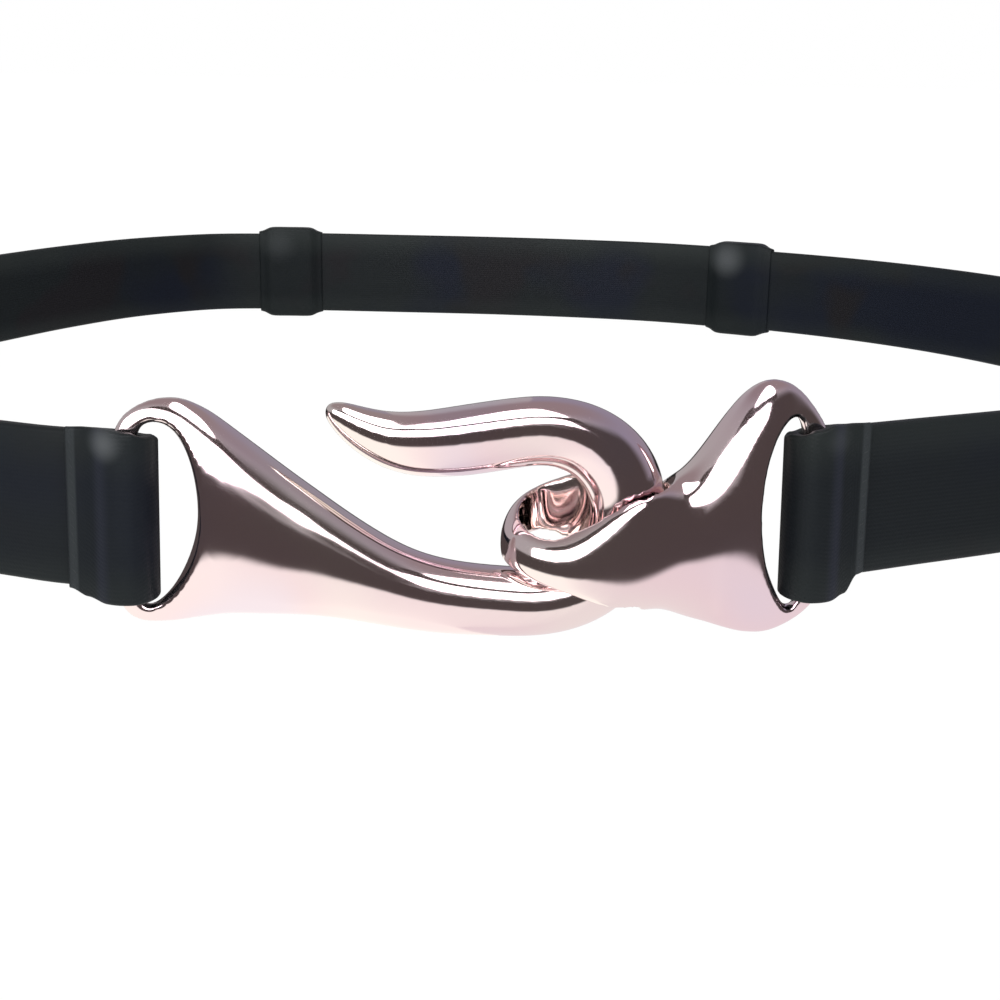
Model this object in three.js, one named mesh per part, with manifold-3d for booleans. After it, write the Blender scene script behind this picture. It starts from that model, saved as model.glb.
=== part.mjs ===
// Elastic waist belt with a cast hook-and-eye buckle, fastened and standing on its edge.
// Millimetres, +Z up, +X to the right, the buckle in front at -Y.
import * as THREE from "three";
import { mergeVertices } from "three/addons/utils/BufferGeometryUtils.js";
import Module from "manifold-3d";

const wasm = await Module();
wasm.setup();

// Driving dimensions
const strap = {
  thickness: 1.8, edge: 0.4, sideBottom: 0, sideTop: 19.9, backBottom: -0.3, backTop: 20.2, step: 7.6,
};
const softGap = 0.3; // between cloth, fold, sleeve and bar
const sleeve = { length: 16.6, lip: 0.3, rise: 0.8, corner: 0.7 };
// A fold's foot leans away from the buckle, and its back ply ends lower than its front ply.
const fold = { edge: 0.3, footShift: 0.5, backDrop: 0.5 };
const buckle = { planeY: -113.4, planeSlope: 0.1067 }; // the buckle hangs in one upright plane
// The buckle is deeper than the strap and lifts the front edge.
const restTilt = THREE.MathUtils.degToRad(1.53);

const metal = new THREE.MeshStandardMaterial({ color: 0xe6c3c9, metalness: 1, roughness: 0.1 });
const elastic = new THREE.MeshStandardMaterial({ color: 0x1f2329, metalness: 0, roughness: 0.75 });
const binding = new THREE.MeshStandardMaterial({ color: 0x1b1f26, metalness: 0, roughness: 0.55 });

// The strap's centre line seen from above, from the hook's fold round the back to the eye's fold.
const strapRoute = [
  { x: -49.0, y: -117.33 }, { x: -52.4, y: -116.77 }, { x: -55.8, y: -115.9 },
  { x: -62.6, y: -113.3 }, { x: -85, y: -105 },
  { x: -108, y: -91 }, { x: -126, y: -68 }, { x: -135, y: -40 }, { x: -136, y: -5 },
  { x: -128, y: 28 }, { x: -116.1, y: 57.8 }, { x: -106.5, y: 78.5 }, { x: -94.6, y: 97.1 },
  { x: -80.3, y: 110 }, { x: -72.3, y: 113.6 }, { x: -56, y: 115.4 }, { x: -28.3, y: 114.8 },
  { x: -1.8, y: 113.5 }, { x: 24.3, y: 109.8 }, { x: 41.3, y: 105.4 }, { x: 59, y: 97.2 },
  { x: 72.9, y: 89.1 }, { x: 87.1, y: 78.5 }, { x: 99.9, y: 65.8 }, { x: 111, y: 50.6 },
  { x: 122, y: 29 }, { x: 129.5, y: 5 }, { x: 131.5, y: -20 }, { x: 127, y: -44 },
  { x: 115, y: -65 }, { x: 98, y: -80.5 }, { x: 82, y: -89.5 }, { x: 67, y: -97.1 },
  { x: 54.7, y: -102.8 }, { x: 50, y: -105.05 }, { x: 46.4, y: -106.75 }, { x: 43.2, y: -108.0 },
];
const sleeveSpots = { left: { x: -56.6, y: 115.4 }, right: { x: 60, y: 96.6 } };

// The hook, from its bar through the web and neck, round the bend to the tip: a row per section.
// x, z: middle; half: half height in the buckle's plane; depth: half thickness across it;
// lean: how far the section turns with the route; square: 2 is an ellipse, more is boxier;
// shear: millimetres forward per millimetre up.
const hookRows = [
  { x: -47.2, z: 8.8, half: 9.0, depth: 0.5, lean: 0, square: 4, shear: 0 },
  { x: -46.8, z: 8.9, half: 11.2, depth: 1, lean: 0, square: 3.4, shear: 0 },
  { x: -45.7, z: 9.1, half: 13.0, depth: 1.2, lean: 0, square: 3, shear: 0 },
  { x: -44.0, z: 9.4, half: 14.0, depth: 1.25, lean: 0, square: 2.8, shear: 0 },
  { x: -42.4, z: 9.7, half: 14.35, depth: 1.85, lean: 0, square: 2.6, shear: 0 },
  { x: -41.0, z: 9.9, half: 14.45, depth: 2.4, lean: 0, square: 2.4, shear: 0 },
  { x: -39.6, z: 10.0, half: 14.45, depth: 2.9, lean: 0, square: 2.3, shear: 0 },
  { x: -38.2, z: 10.0, half: 14.2, depth: 3.4, lean: 0, square: 2.2, shear: 0 },
  { x: -36.8, z: 9.8, half: 13.75, depth: 3.9, lean: 0, square: 2.2, shear: 0 },
  { x: -35.4, z: 9.5, half: 13.25, depth: 4.3, lean: 0, square: 2.3, shear: 0 },
  { x: -34.0, z: 9.1, half: 12.6, depth: 4.5, lean: 0, square: 2.3, shear: 0 },
  { x: -31.8, z: 8.1, half: 11.6, depth: 4.6, lean: 0.05, square: 2.3, shear: 0 },
  { x: -29.4, z: 6.9, half: 10.5, depth: 4.6, lean: 0.15, square: 2.3, shear: 0 },
  { x: -26.8, z: 5.6, half: 9.3, depth: 4.6, lean: 0.3, square: 2.3, shear: 0 },
  { x: -24.0, z: 4.3, half: 8.2, depth: 4.6, lean: 0.5, square: 2.3, shear: 0.02 },
  { x: -21.2, z: 3.0, half: 7.2, depth: 4.5, lean: 0.7, square: 2.3, shear: 0.04 },
  { x: -18.2, z: 1.7, half: 6.4, depth: 4.45, lean: 0.9, square: 2.2, shear: 0.06 },
  { x: -15.2, z: 0.5, half: 5.8, depth: 4.35, lean: 1, square: 2.1, shear: 0.08 },
  { x: -12.0, z: -0.6, half: 5.4, depth: 4.2, lean: 1, square: 2, shear: 0.1 },
  { x: -8.4, z: -1.5, half: 5.1, depth: 4.2, lean: 1, square: 2, shear: 0.1 },
  { x: -4.4, z: -2.1, half: 4.9, depth: 4.2, lean: 1, square: 2, shear: 0.1 },
  { x: 0.2, z: -2.45, half: 4.7, depth: 4.2, lean: 1, square: 2, shear: 0.08 },
  { x: 3.6, z: -2.65, half: 4.65, depth: 4.2, lean: 1, square: 2, shear: 0.05 },
  { x: 7.0, z: -2.3, half: 4.7, depth: 4.2, lean: 1, square: 2, shear: 0.03 },
  { x: 10.3, z: -1.2, half: 4.75, depth: 4.2, lean: 1, square: 2, shear: 0 },
  { x: 13.3, z: 0.8, half: 4.78, depth: 4.2, lean: 1, square: 2, shear: 0 },
  { x: 15.4, z: 4.2, half: 4.83, depth: 4.2, lean: 1, square: 2, shear: 0 },
  { x: 16.2, z: 8.2, half: 4.87, depth: 4.2, lean: 1, square: 2, shear: 0 },
  { x: 16.1, z: 11.4, half: 4.95, depth: 4.2, lean: 1, square: 2, shear: 0 },
  { x: 15.0, z: 14.4, half: 5.0, depth: 4.2, lean: 1, square: 2, shear: 0.03 },
  { x: 12.9, z: 17.0, half: 4.9, depth: 4.2, lean: 1, square: 2, shear: 0.07 },
  { x: 9.7, z: 19.0, half: 4.7, depth: 4.2, lean: 1, square: 2, shear: 0.12 },
  { x: 5.7, z: 19.8, half: 4.5, depth: 4.2, lean: 1, square: 2.3, shear: 0.16 },
  { x: 2.3, z: 19.5, half: 4.55, depth: 4.2, lean: 1, square: 2.3, shear: 0.18 },
  { x: -1.4, z: 18.95, half: 4.6, depth: 4.2, lean: 1, square: 2.3, shear: 0.18 },
  { x: -5.1, z: 18.4, half: 4.6, depth: 4.1, lean: 1, square: 2.3, shear: 0.18 },
  { x: -8.7, z: 18.1, half: 4.35, depth: 3.9, lean: 1, square: 2.3, shear: 0.18 },
  { x: -11.6, z: 18.2, half: 4.1, depth: 3.6, lean: 1, square: 2.3, shear: 0.18 },
  { x: -14.2, z: 18.8, half: 3.65, depth: 3.2, lean: 1, square: 2, shear: 0.18 },
  { x: -16.5, z: 19.8, half: 3.05, depth: 2.7, lean: 1, square: 2, shear: 0.18 },
  { x: -18.4, z: 20.9, half: 2.45, depth: 2.2, lean: 1, square: 2, shear: 0.18 },
  { x: -20.0, z: 22.0, half: 1.8, depth: 1.6, lean: 1, square: 2, shear: 0.18 },
  { x: -21.0, z: 22.6, half: 1.1, depth: 1, lean: 1, square: 2, shear: 0.18 },
  { x: -21.4, z: 22.8, half: 0.5, depth: 0.5, lean: 1, square: 2, shear: 0.18 },
];

// The slot between the hook's bar and web, seen from the front.
const hookSlot = [
  { x: -44.3, z: 9.5 }, { x: -44.1, z: 16.6 }, { x: -43.9, z: 20.0 }, { x: -42.8, z: 21.1 },
  { x: -41.1, z: 21.2 }, { x: -39.7, z: 20.4 }, { x: -38.5, z: 18.6 }, { x: -37.4, z: 15.2 },
  { x: -36.9, z: 10.5 }, { x: -37.3, z: 6.8 }, { x: -38.5, z: 3.4 }, { x: -40.1, z: 0.4 },
  { x: -41.8, z: -1.5 }, { x: -43.2, z: -2.3 }, { x: -44.3, z: -1.8 }, { x: -44.5, z: 0.9 },
];

// The eye, from the left end of its ring to the bar: a row per upright cross section.
// x: along the belt; z: middle; depth, half: half sizes; shear: rise per millimetre to the back.
const eyeRows = [
  { x: 0.1, z: 5.0, depth: 0.6, half: 1.2, shear: 0.45, square: 2 },
  { x: 0.5, z: 5.3, depth: 1.8, half: 2.2, shear: 0.45, square: 2.2 },
  { x: 1.4, z: 5.8, depth: 3.4, half: 2.9, shear: 0.45, square: 2.4 },
  { x: 3.0, z: 6.1, depth: 5.0, half: 3.4, shear: 0.45, square: 2.7 },
  { x: 5.5, z: 6.2, depth: 6.4, half: 4.1, shear: 0.45, square: 2.8 },
  { x: 8.5, z: 6.2, depth: 7.1, half: 5.0, shear: 0.44, square: 2.8 },
  { x: 12.0, z: 6.0, depth: 7, half: 7.0, shear: 0.34, square: 3.3 },
  { x: 15.0, z: 5.6, depth: 6.7, half: 8.4, shear: 0.14, square: 4 },
  { x: 18.0, z: 5.2, depth: 6.1, half: 9.0, shear: -0.14, square: 3.9 },
  { x: 20.5, z: 4.8, depth: 5.5, half: 8.6, shear: -0.22, square: 3.1 },
  { x: 22.5, z: 4.9, depth: 5.2, half: 9.4, shear: -0.18, square: 2.3 },
  { x: 24.5, z: 5.6, depth: 4.9, half: 10.9, shear: -0.08, square: 2.1 },
  { x: 26.4, z: 6.8, depth: 4.8, half: 12.6, shear: -0.02, square: 2 },
  { x: 28.2, z: 7.8, depth: 4.8, half: 14.3, shear: 0.02, square: 2 },
  { x: 30.0, z: 8.7, depth: 4.6, half: 15.8, shear: 0, square: 2 },
  { x: 31.5, z: 9.1, depth: 4.3, half: 16.6, shear: 0, square: 2.1 },
  { x: 33.0, z: 9.4, depth: 3.9, half: 17.0, shear: 0, square: 2.2 },
  { x: 34.6, z: 9.4, depth: 3.4, half: 17.0, shear: 0, square: 2.3 },
  { x: 36.2, z: 9.4, depth: 2.6, half: 16.5, shear: 0, square: 2.4 },
  { x: 37.8, z: 9.2, depth: 1.8, half: 15.5, shear: 0, square: 2.6 },
  { x: 39.3, z: 8.8, depth: 1.4, half: 14.1, shear: 0, square: 2.8 },
  { x: 40.6, z: 8.5, depth: 1.3, half: 12.5, shear: 0, square: 3 },
  { x: 41.5, z: 8.4, depth: 1.1, half: 10.7, shear: 0, square: 3.4 },
  { x: 42.0, z: 8.4, depth: 0.5, half: 8.8, shear: 0, square: 4 },
];

// The slot between the eye's bar and neck, seen from the front.
const eyeSlot = [
  { x: 38.5, z: 9.0 }, { x: 38.7, z: 1.0 }, { x: 38.6, z: -2.6 }, { x: 37.8, z: -4.0 },
  { x: 36.9, z: -3.7 }, { x: 35.9, z: -2.0 }, { x: 34.7, z: 0.6 }, { x: 33.8, z: 3.4 },
  { x: 33.1, z: 7.0 }, { x: 32.9, z: 10.5 }, { x: 33.2, z: 14.4 }, { x: 34.0, z: 17.7 },
  { x: 35.2, z: 20.2 }, { x: 36.5, z: 21.6 }, { x: 37.5, z: 21.3 }, { x: 38.2, z: 18.8 },
];

// The hole the hook passes up through: its ends along x, and its edges' flare.
// Below heelStart the hole's far end runs in under the hook, which leaves a heel of metal there.
const eyeHole = {
  start: 2.5, end: 21.4, halfWidth: 5.0, middle: 6.6, shear: 0.42, flare: 0.012, mostFlare: 0.35,
  heelStart: -4.5, heelSlope: 0.84,
};
const eyeHoleHeights = [-14, -10, -7, -4.5, -2, 0, 2, 4, 6, 14];

// The slots' edges flare, so that the rings round them are rounded like wire.
// rate: widening per square millimetre of distance from the middle plane; most: where it stops.
const slotFlare = { rate: 0.1, most: 0.5 };
const slotDepths = [-6, -3.4, -2.2, -1.1, 0, 1.1, 2.2, 3.4, 6];

// How a sleeve swells along its length, from one lip to the other.
const sleeveSwell = [
  { along: -0.5, swell: 0 }, { along: -0.43, swell: 0.26 }, { along: -0.37, swell: 0.64 },
  { along: -0.31, swell: 0.92 }, { along: -0.24, swell: 1 }, { along: -0.1, swell: 1 },
  { along: 0.1, swell: 1 }, { along: 0.24, swell: 1 }, { along: 0.31, swell: 0.92 },
  { along: 0.37, swell: 0.64 }, { along: 0.43, swell: 0.26 }, { along: 0.5, swell: 0 },
];

// The fold of the strap's end round a bar, seen from above, from its closed end (0, 0) to its tail.
// along: from the closed end; side: off the fold's own middle line; ply: thickness there.
const foldRows = [
  { along: 0, side: 0, ply: 1.6 }, { along: 0.35, side: 1.6, ply: 1.6 },
  { along: 1.2, side: 2.6, ply: 1.6 }, { along: 2.5, side: 3.0, ply: 1.5 },
  { along: 4.2, side: 2.85, ply: 1.35 }, { along: 6.0, side: 2.25, ply: 1.15 },
  { along: 7.8, side: 1.85, ply: 1.0 }, { along: 9.8, side: 1.8, ply: 0.9 },
];
const folds = {
  fold_left: {
    closedEnd: { x: -42.6, y: -118.3 }, tail: { x: -52.4, y: -116.8 }, back: -1,
    heights: [
      { along: 0, bottom: -1.2, top: 19.6 }, { along: 1.5, bottom: -1.25, top: 20.3 },
      { along: 4.5, bottom: -1.3, top: 20.7 }, { along: 7.4, bottom: -0.8, top: 20.6 },
      { along: 9.8, bottom: 0.1, top: 20.5 },
    ],
  },
  fold_right: {
    closedEnd: { x: 37.05, y: -110.3 }, tail: { x: 46.35, y: -106.73 }, back: 1,
    heights: [
      { along: 0, bottom: -2.3, top: 19.3 }, { along: 1.5, bottom: -2.35, top: 20.2 },
      { along: 4, bottom: -2.4, top: 20.8 }, { along: 6.8, bottom: -1.9, top: 20.6 },
      { along: 9, bottom: 0.4, top: 20.5 }, { along: 9.8, bottom: 0.6, top: 20.5 },
    ],
  },
};

// Surfaces
// A closed geometry from points and triangles, turned so that its faces point out.
function closedGeometry(points, triangles) {
  const volume = triangles.reduce((sum, [a, b, c]) => {
    return sum + points[a].dot(points[b].clone().cross(points[c]));
  }, 0);
  const outward = volume > 0 ? triangles : triangles.map(([a, b, c]) => [a, c, b]);
  const geometry = new THREE.BufferGeometry().setFromPoints(points);
  geometry.setIndex(outward.flat());
  return geometry;
}

// The triangles between neighbouring rings of equal size.
function skin(ringCount, ringSize, first = 0) {
  const triangles = [];
  for (let i = 0; i < ringCount - 1; i += 1) {
    for (let k = 0; k < ringSize; k += 1) {
      const a = first + i * ringSize + k;
      const b = first + i * ringSize + ((k + 1) % ringSize);
      triangles.push([a, b, b + ringSize], [a, b + ringSize, a + ringSize]);
    }
  }
  return triangles;
}

// A solid through convex rings, closed by a fan at each end.
function loft(rings) {
  const size = rings[0].length;
  const last = (rings.length - 1) * size;
  const triangles = skin(rings.length, size);
  for (let k = 1; k < size - 1; k += 1) {
    triangles.push([0, k + 1, k], [last, last + k, last + k + 1]);
  }
  return closedGeometry(rings.flat(), triangles);
}

// A tube through outer and inner rings, open right through, with a flat rim at each end.
function openTube(outer, inner) {
  const size = outer[0].length;
  const count = outer.length;
  const start = count * size;
  const triangles = skin(count, size);
  skin(count, size, start).forEach(([a, b, c]) => triangles.push([a, c, b]));
  for (let k = 0; k < size; k += 1) {
    const next = (k + 1) % size;
    [0, (count - 1) * size].forEach((row, end) => {
      const quad = [row + k, row + next, start + row + next, start + row + k];
      const [a, b, c, d] = end ? quad : [...quad].reverse();
      triangles.push([a, b, c], [a, c, d]);
    });
  }
  return closedGeometry([...outer.flat(), ...inner.flat()], triangles);
}

// Solids
function toSolid(geometry) {
  const bare = mergeVertices(geometry.clone().deleteAttribute("normal").deleteAttribute("uv"));
  const vertProperties = new Float32Array(bare.attributes.position.array);
  const triVerts = new Uint32Array(bare.index.array);
  return new wasm.Manifold(new wasm.Mesh({ numProp: 3, vertProperties, triVerts }));
}

function toGeometry(solid) {
  const mesh = solid.getMesh();
  const geometry = new THREE.BufferGeometry();
  geometry.setAttribute("position", new THREE.BufferAttribute(mesh.vertProperties, 3));
  geometry.setIndex(new THREE.BufferAttribute(mesh.triVerts, 1));
  return geometry;
}

function cut(body, ...cutters) {
  return toGeometry(cutters.reduce((solid, cutter) => solid.subtract(toSolid(cutter)), toSolid(body)));
}

// The buckle
const sectionSides = 20;
const towardFront = new THREE.Vector3(buckle.planeSlope, -1, 0).normalize();

function onBuckle(x, z, forward = 0) {
  const point = new THREE.Vector3(x, buckle.planeY + buckle.planeSlope * x, z);
  return point.addScaledVector(towardFront, forward);
}

// One point of a rounded section: 2 gives an ellipse, a larger power a boxier one.
function roundedPoint(angle, power) {
  const c = Math.cos(angle);
  const s = Math.sin(angle);
  const bend = (value) => Math.sign(value) * Math.abs(value) ** (2 / power);
  return { across: bend(c), up: bend(s) };
}

function hookRing(row, before, after) {
  const turn = row.lean * Math.atan2(after.z - before.z, after.x - before.x);
  return Array.from({ length: sectionSides }, (_, k) => {
    const { across, up } = roundedPoint((2 * Math.PI * k) / sectionSides, row.square);
    const rise = row.half * up;
    const lift = Math.cos(turn) * rise;
    return onBuckle(row.x - Math.sin(turn) * rise, row.z + lift, row.depth * across + row.shear * lift);
  });
}

function eyeRing(row) {
  return Array.from({ length: sectionSides }, (_, k) => {
    const { across, up } = roundedPoint((2 * Math.PI * k) / sectionSides, row.square);
    const forward = row.depth * across;
    return onBuckle(row.x, row.z + row.half * up - row.shear * forward, forward);
  });
}

// A slot through the buckle, wider towards both faces.
function slotCutter(outline) {
  const curve = new THREE.CatmullRomCurve3(outline.map(({ x, z }) => new THREE.Vector3(x, z, 0)), true);
  const points = curve.getPoints(2 * outline.length).slice(0, -1);
  const normals = points.map((_, i) => {
    const before = points[(i + points.length - 1) % points.length];
    const tangent = points[(i + 1) % points.length].clone().sub(before);
    return new THREE.Vector3(tangent.y, -tangent.x, 0).normalize();
  });
  const middle = points.reduce((sum, p) => sum.add(p), new THREE.Vector3()).divideScalar(points.length);
  const outward = Math.sign(normals[0].dot(points[0].clone().sub(middle)));
  return loft(slotDepths.map((forward) => points.map((point, i) => {
    const widening = outward * Math.min(slotFlare.rate * forward ** 2, slotFlare.most);
    const wide = point.clone().addScaledVector(normals[i], widening);
    return onBuckle(wide.x, wide.y, forward);
  })));
}

// The long upright hole of the eye's ring, cut as slanted as the ring lies.
function ringHoleCutter() {
  const { start, end, halfWidth, middle, shear, flare, mostFlare, heelStart, heelSlope } = eyeHole;
  const sides = 28;
  const ring = (height) => Array.from({ length: sides }, (_, k) => {
    const angle = (2 * Math.PI * k) / sides;
    const heel = heelSlope * Math.max(heelStart - height, 0);
    const centre = Math.cos(angle) > 0 ? end - heel - halfWidth : start + halfWidth;
    const radius = halfWidth + Math.min(flare * height ** 2, mostFlare);
    const x = centre + radius * Math.cos(angle);
    const forward = radius * Math.sin(angle);
    return onBuckle(x, middle + height - shear * forward, forward);
  });
  return loft(eyeHoleHeights.map(ring));
}

function hookGeometry() {
  const rings = hookRows.map((row, i) => {
    return hookRing(row, hookRows[Math.max(i - 1, 0)], hookRows[Math.min(i + 1, hookRows.length - 1)]);
  });
  return cut(loft(rings), slotCutter(hookSlot));
}

function eyeGeometry() {
  return cut(loft(eyeRows.map(eyeRing)), slotCutter(eyeSlot), ringHoleCutter());
}

// The strap
const route = new THREE.CatmullRomCurve3(strapRoute.map(({ x, y }) => new THREE.Vector3(x, y, 0)), false);
route.arcLengthDivisions = 2000;
const routeLength = route.getLength();

function stationNear(spot) {
  const steps = 2000;
  const target = new THREE.Vector3(spot.x, spot.y, 0);
  let best = { u: 0, gap: Infinity };
  for (let i = 0; i <= steps; i += 1) {
    const gap = route.getPointAt(i / steps).distanceTo(target);
    if (gap < best.gap) best = { u: i / steps, gap };
  }
  return best.u;
}

// A section across the route: half the thickness to each side, and heights above the floor line.
function acrossRoute(u, profile) {
  const point = route.getPointAt(u);
  const along = route.getTangentAt(u);
  const side = new THREE.Vector3(along.y, -along.x, 0);
  return profile.map(([offset, z]) => point.clone().addScaledVector(side, offset).setZ(z));
}

// A box with cut corners, as sideways and upward pairs.
function cutBox(halfWidth, bottom, top, corner) {
  return [
    [halfWidth, bottom + corner], [halfWidth, top - corner],
    [halfWidth - corner, top], [corner - halfWidth, top],
    [-halfWidth, top - corner], [-halfWidth, bottom + corner],
    [corner - halfWidth, bottom], [halfWidth - corner, bottom],
  ];
}

function strapLength(from, to, bottom, top) {
  const steps = Math.round(((to - from) * routeLength) / strap.step);
  const profile = cutBox(strap.thickness / 2, bottom, top, strap.edge);
  const rings = Array.from({ length: steps + 1 }, (_, i) => {
    return acrossRoute(from + ((to - from) * i) / steps, profile);
  });
  return loft(rings);
}

// A sleeve that holds two strap ends: a tube round the strap, swelling to its flat middle.
function sleeveGeometry(u) {
  const bottom = strap.backBottom - softGap;
  const top = strap.backTop + softGap;
  const halfSpace = strap.thickness / 2 + softGap;
  const rings = sleeveSwell.map(({ along, swell }) => {
    const wall = sleeve.lip + sleeve.rise * swell;
    const at = u + (along * sleeve.length) / routeLength;
    return {
      outer: acrossRoute(at, cutBox(halfSpace + wall, bottom - wall, top + wall, sleeve.corner)),
      inner: acrossRoute(at, cutBox(halfSpace, bottom, top, strap.edge / 2)),
    };
  });
  return openTube(rings.map((ring) => ring.outer), rings.map((ring) => ring.inner));
}

function between(rows, at, column) {
  const next = Math.max(1, rows.findIndex((row) => row.along >= at));
  const share = (at - rows[next - 1].along) / (rows[next].along - rows[next - 1].along);
  return THREE.MathUtils.lerp(rows[next - 1][column], rows[next][column], share);
}

// The strap's folded end: one ply that leaves the seam, turns round the bar and comes back.
function foldGeometry({ closedEnd, tail, back, heights }) {
  const origin = new THREE.Vector3(closedEnd.x, closedEnd.y, 0);
  const ahead = new THREE.Vector3(tail.x - closedEnd.x, tail.y - closedEnd.y, 0).normalize();
  const aside = new THREE.Vector3(-ahead.y, ahead.x, 0);
  const middle = (strap.sideBottom + strap.sideTop) / 2;
  const mirrored = foldRows.slice(1).reverse().map((row) => ({ ...row, side: -row.side }));
  const rows = [...mirrored, ...foldRows];
  return loft(rows.map((row, i) => {
    const before = rows[Math.max(i - 1, 0)];
    const after = rows[Math.min(i + 1, rows.length - 1)];
    const run = new THREE.Vector2(after.along - before.along, after.side - before.side).normalize();
    const bottom = between(heights, row.along, "bottom");
    const top = between(heights, row.along, "top") - fold.backDrop * Math.max(back * row.side, 0);
    return cutBox(row.ply / 2, bottom, top, fold.edge).map(([offset, z]) => {
      const footShift = (fold.footShift * (z - middle)) / strap.sideTop;
      return origin.clone()
        .addScaledVector(ahead, row.along - run.y * offset - footShift)
        .addScaledVector(aside, row.side + run.x * offset)
        .setZ(z);
    });
  }));
}

// Assembly
const belt = new THREE.Group();

function add(name, geometry, material) {
  const mesh = new THREE.Mesh(geometry, material);
  mesh.name = name;
  belt.add(mesh);
}

const leftSleeveAt = stationNear(sleeveSpots.left);
const rightSleeveAt = stationNear(sleeveSpots.right);
const halfJoint = softGap / 2 / routeLength; // the strap ends almost meet inside the sleeves

add("hook", hookGeometry(), metal);
add("eye", eyeGeometry(), metal);
add("strap_left", strapLength(0, leftSleeveAt - halfJoint, strap.sideBottom, strap.sideTop), elastic);
add("strap_back", strapLength(leftSleeveAt + halfJoint, rightSleeveAt - halfJoint,
  strap.backBottom, strap.backTop), elastic);
add("strap_right", strapLength(rightSleeveAt + halfJoint, 1, strap.sideBottom, strap.sideTop), elastic);
add("sleeve_left", sleeveGeometry(leftSleeveAt), binding);
add("sleeve_right", sleeveGeometry(rightSleeveAt), binding);
Object.entries(folds).forEach(([name, shape]) => add(name, foldGeometry(shape), binding));

// The belt leans back on its sleeves and buckle, over the middle of its own footprint.
belt.rotation.x = -restTilt;
const assembly = new THREE.Group();
assembly.add(belt);
const box = new THREE.Box3().setFromObject(assembly, true);
belt.position.set(-(box.min.x + box.max.x) / 2, -(box.min.y + box.max.y) / 2, -box.min.z);

export default assembly;
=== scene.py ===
import math

import bmesh
import bpy
from mathutils import Matrix, Vector


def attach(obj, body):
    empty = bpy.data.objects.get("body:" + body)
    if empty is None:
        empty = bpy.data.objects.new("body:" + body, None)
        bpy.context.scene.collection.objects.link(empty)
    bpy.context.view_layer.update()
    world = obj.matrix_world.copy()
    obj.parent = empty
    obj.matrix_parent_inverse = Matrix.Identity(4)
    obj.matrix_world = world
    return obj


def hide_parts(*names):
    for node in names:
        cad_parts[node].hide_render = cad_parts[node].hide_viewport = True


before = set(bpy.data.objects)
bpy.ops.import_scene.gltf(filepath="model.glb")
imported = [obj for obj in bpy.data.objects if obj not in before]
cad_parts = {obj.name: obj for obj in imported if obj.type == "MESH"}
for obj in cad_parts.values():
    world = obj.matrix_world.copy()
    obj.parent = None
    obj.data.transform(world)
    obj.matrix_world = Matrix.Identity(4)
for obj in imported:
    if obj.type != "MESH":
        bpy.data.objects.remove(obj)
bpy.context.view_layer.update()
scene = bpy.context.scene
mm = 0.001
print("frame loaded")

# The belt leans back a little on its buckle, so its own upright is turned in the frame.
stand = {"tilt": math.radians(-1.53), "place": Vector((2.5484, 1.6333, 4.8258))}


def inFrame(point):
    return (Matrix.Rotation(stand["tilt"], 3, "X") @ Vector(point) + stand["place"]) * mm


# Camera, at the height and tilt of the photo
view = {"place": (0, -300, 62.4), "down": math.radians(15.45), "roll": math.radians(1.0),
        "lens": 55.8, "sensor": 36, "near": 0.01}
cameraData = bpy.data.cameras.new("camera")
cameraData.lens = view["lens"]
cameraData.sensor_width = view["sensor"]
cameraData.clip_start = view["near"]
camera = bpy.data.objects.new("camera", cameraData)
scene.collection.objects.link(camera)
pitch = math.pi / 2 - view["down"] + stand["tilt"]
camera.matrix_world = (Matrix.Translation(inFrame(view["place"])) @ Matrix.Rotation(pitch, 4, "X")
                       @ Matrix.Rotation(view["roll"], 4, "Z"))
scene.camera = camera
scene.view_settings.view_transform = "Standard"
print("camera placed")


# Shader maths: a value is a node's output, and sums of values add their own nodes
class Value:
    def __init__(self, tree, socket):
        self.tree = tree
        self.socket = socket

    def math(self, operation, *others):
        sockets = {0: self}
        sockets.update({index + 1: other for index, other in enumerate(others)})
        return self.tree.node("ShaderNodeMath", {"operation": operation}, sockets)

    def __add__(self, other):
        return self.math("ADD", other)

    __radd__ = __add__

    def __mul__(self, other):
        return self.math("MULTIPLY", other)

    __rmul__ = __mul__

    def __sub__(self, other):
        return self.math("SUBTRACT", other)

    def __rsub__(self, other):
        return self.math("MULTIPLY_ADD", -1, other)

    def __truediv__(self, other):
        return self.math("DIVIDE", other)

    def __pow__(self, other):
        return self.math("POWER", other)

    def __abs__(self):
        return self.math("ABSOLUTE")

    def wave(self, length):
        return (self * (2 * math.pi / length)).math("SINE")

    def rise(self, low, high):
        sockets = {"Value": self, "From Min": low, "From Max": high}
        return self.tree.node("ShaderNodeMapRange", {"interpolation_type": "SMOOTHSTEP"}, sockets)


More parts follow.
